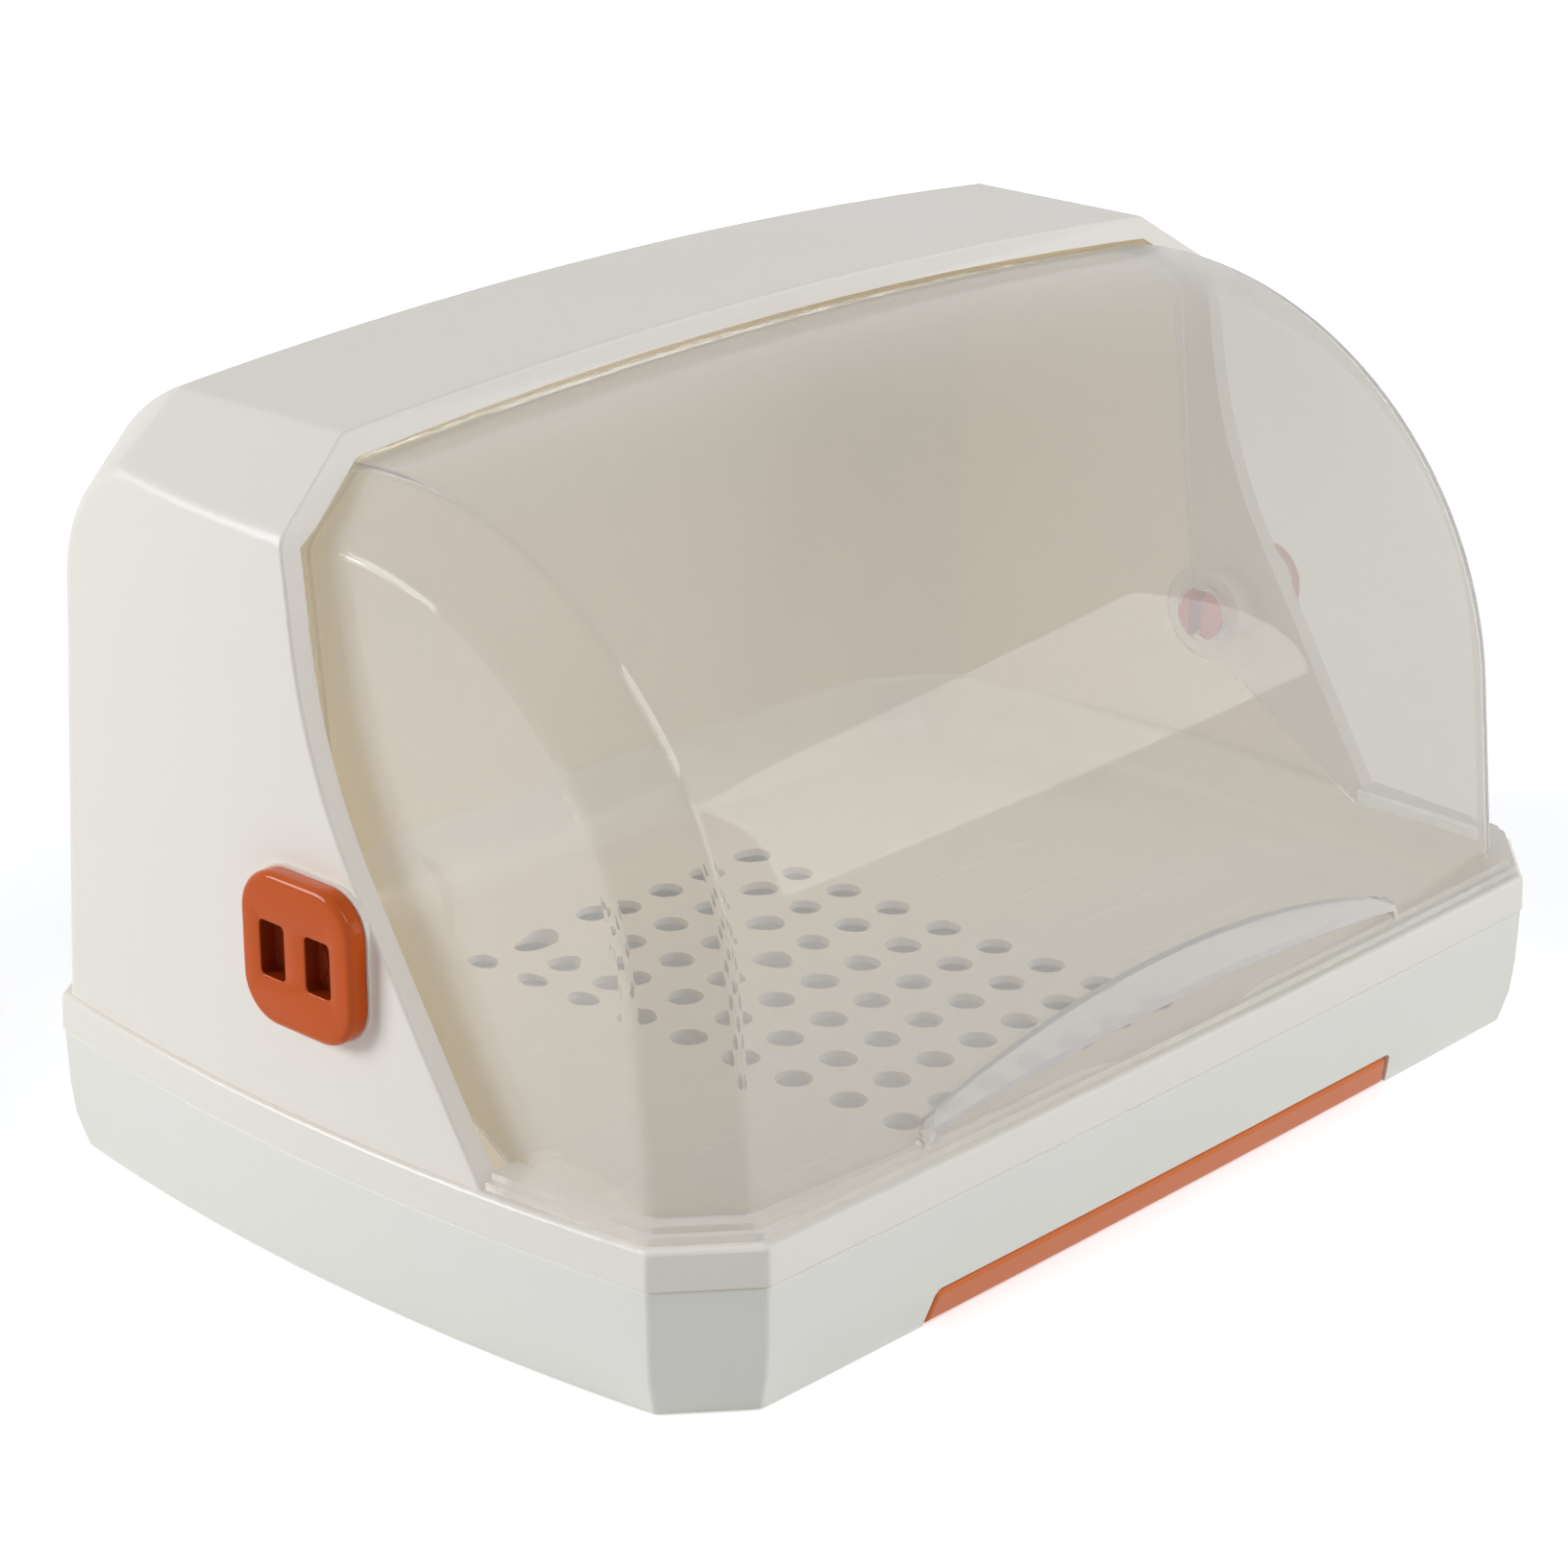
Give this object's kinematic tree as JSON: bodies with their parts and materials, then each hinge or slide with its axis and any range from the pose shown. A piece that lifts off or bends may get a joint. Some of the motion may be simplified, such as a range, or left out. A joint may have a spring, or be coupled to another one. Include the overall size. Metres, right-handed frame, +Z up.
{
  "type": "baby bottle drying rack",
  "caption": "Covered drying box for baby bottles: pierced drain basin, clear roll-back lid under a hood on plug pivots, and a drip tray that slides out in front.",
  "frame": {"origin": "on the ground, under the middle of the box", "axes": "X along the front, to the right as seen from the front; Y towards the hood's back; Z up"},
  "size_m": [0.364, 0.258, 0.2108],
  "materials": {
    "casing": "satin moulded polypropylene, cream white",
    "base_shell": "satin moulded polypropylene, grey white",
    "clear_lid": "polished clear plastic with a slight grey tint",
    "orange_trim": "glossy burnt orange",
    "orange_pull": "satin orange",
    "tray_shell": "satin grey white",
    "foot_pad": "matt grey"
  },
  "bodies": {
    "case": {"lower_base": "base_shell", "drain_deck": "casing", "hood": "casing", "left_pivot_plug": "orange_trim", "right_pivot_plug": "orange_trim", "foot_front_left": "foot_pad", "foot_front_right": "foot_pad", "foot_back_left": "foot_pad", "foot_back_right": "foot_pad"},
    "lid": {"lid": "clear_lid"},
    "tray": {"drip_tray": "tray_shell", "tray_pull": "orange_pull"}
  },
  "joints": [
    {"name": "lid_hinge", "type": "hinge", "parent": "case", "child": "lid", "pos_m": [0, -0.0018, 0.088], "axis": [-1, 0, 0], "range_deg": [0, 92]},
    {"name": "tray_slide", "type": "slide", "parent": "case", "child": "tray", "axis": [0, -1, 0], "range_m": [0, 0.15]}
  ]
}
